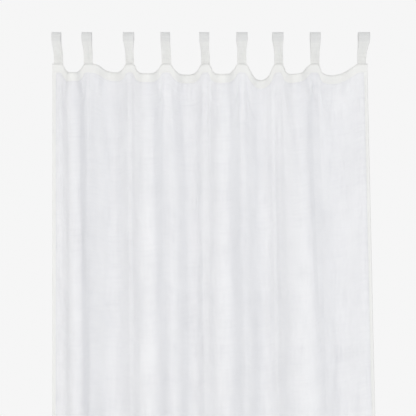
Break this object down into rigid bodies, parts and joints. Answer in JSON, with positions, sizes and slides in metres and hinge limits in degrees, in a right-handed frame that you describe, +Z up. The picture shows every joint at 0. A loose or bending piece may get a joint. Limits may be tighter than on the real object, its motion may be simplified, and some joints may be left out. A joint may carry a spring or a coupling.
{
  "type": "tab-top curtain panel",
  "caption": "Light half-sheer linen room curtain panel with sewn tab loops along its top, hanging in soft folds from a rod.",
  "frame": {"origin": "on the rod's axis, half-way between the outer edges of the first and last tab", "axes": "+X along the rod towards the last tab, -Y the room side, +Z up"},
  "size_m": [1.0299, 0.1137, 2.3903],
  "materials": {
    "linen_panel": "matte slubby weave, half sheer",
    "linen_doubled": "matte slubby weave, two or more layers",
    "sewing_thread": "matte cotton thread"
  },
  "bodies": {
    "curtain": {"panel_cloth": "linen_panel", "heading_facing": "linen_doubled", "bottom_hem": "linen_doubled", "side_hem_left": "linen_doubled", "side_hem_right": "linen_doubled", "heading_upper_seam": "sewing_thread", "heading_lower_seam": "sewing_thread", "bottom_seam": "sewing_thread", "side_seam_left": "sewing_thread", "side_seam_right": "sewing_thread", "tab_1": "linen_doubled"},
    "sliding_tab_2": {"tab_2": "linen_doubled"},
    "sliding_tab_3": {"tab_3": "linen_doubled"},
    "sliding_tab_4": {"tab_4": "linen_doubled"},
    "sliding_tab_5": {"tab_5": "linen_doubled"},
    "sliding_tab_6": {"tab_6": "linen_doubled"},
    "sliding_tab_7": {"tab_7": "linen_doubled"},
    "sliding_tab_8": {"tab_8": "linen_doubled"},
    "sliding_tab_9": {"tab_9": "linen_doubled"}
  },
  "joints": [
    {"name": "draw", "type": "slide", "parent": "curtain", "child": "sliding_tab_9", "axis": [-1, 0, 0], "range_m": [0, 0.5219], "deforming": ["panel_cloth", "heading_facing", "bottom_hem", "side_hem_left", "side_hem_right", "heading_upper_seam", "heading_lower_seam", "bottom_seam", "side_seam_left", "side_seam_right"]},
    {"name": "tab_2_slide", "type": "slide", "parent": "curtain", "child": "sliding_tab_2", "axis": [-1, 0, 0], "range_m": [0, 0.0509]},
    {"name": "tab_3_slide", "type": "slide", "parent": "curtain", "child": "sliding_tab_3", "axis": [-1, 0, 0], "range_m": [0, 0.1221]},
    {"name": "tab_4_slide", "type": "slide", "parent": "curtain", "child": "sliding_tab_4", "axis": [-1, 0, 0], "range_m": [0, 0.184]},
    {"name": "tab_5_slide", "type": "slide", "parent": "curtain", "child": "sliding_tab_5", "axis": [-1, 0, 0], "range_m": [0, 0.2508]},
    {"name": "tab_6_slide", "type": "slide", "parent": "curtain", "child": "sliding_tab_6", "axis": [-1, 0, 0], "range_m": [0, 0.3154]},
    {"name": "tab_7_slide", "type": "slide", "parent": "curtain", "child": "sliding_tab_7", "axis": [-1, 0, 0], "range_m": [0, 0.3762]},
    {"name": "tab_8_slide", "type": "slide", "parent": "curtain", "child": "sliding_tab_8", "axis": [-1, 0, 0], "range_m": [0, 0.4397]}
  ],
  "couplings": [
    {"joint": "tab_2_slide", "follows": "draw", "ratio": 0.096537},
    {"joint": "tab_3_slide", "follows": "draw", "ratio": 0.23295},
    {"joint": "tab_4_slide", "follows": "draw", "ratio": 0.35152},
    {"joint": "tab_5_slide", "follows": "draw", "ratio": 0.47954},
    {"joint": "tab_6_slide", "follows": "draw", "ratio": 0.60336},
    {"joint": "tab_7_slide", "follows": "draw", "ratio": 0.71983},
    {"joint": "tab_8_slide", "follows": "draw", "ratio": 0.84155}
  ]
}
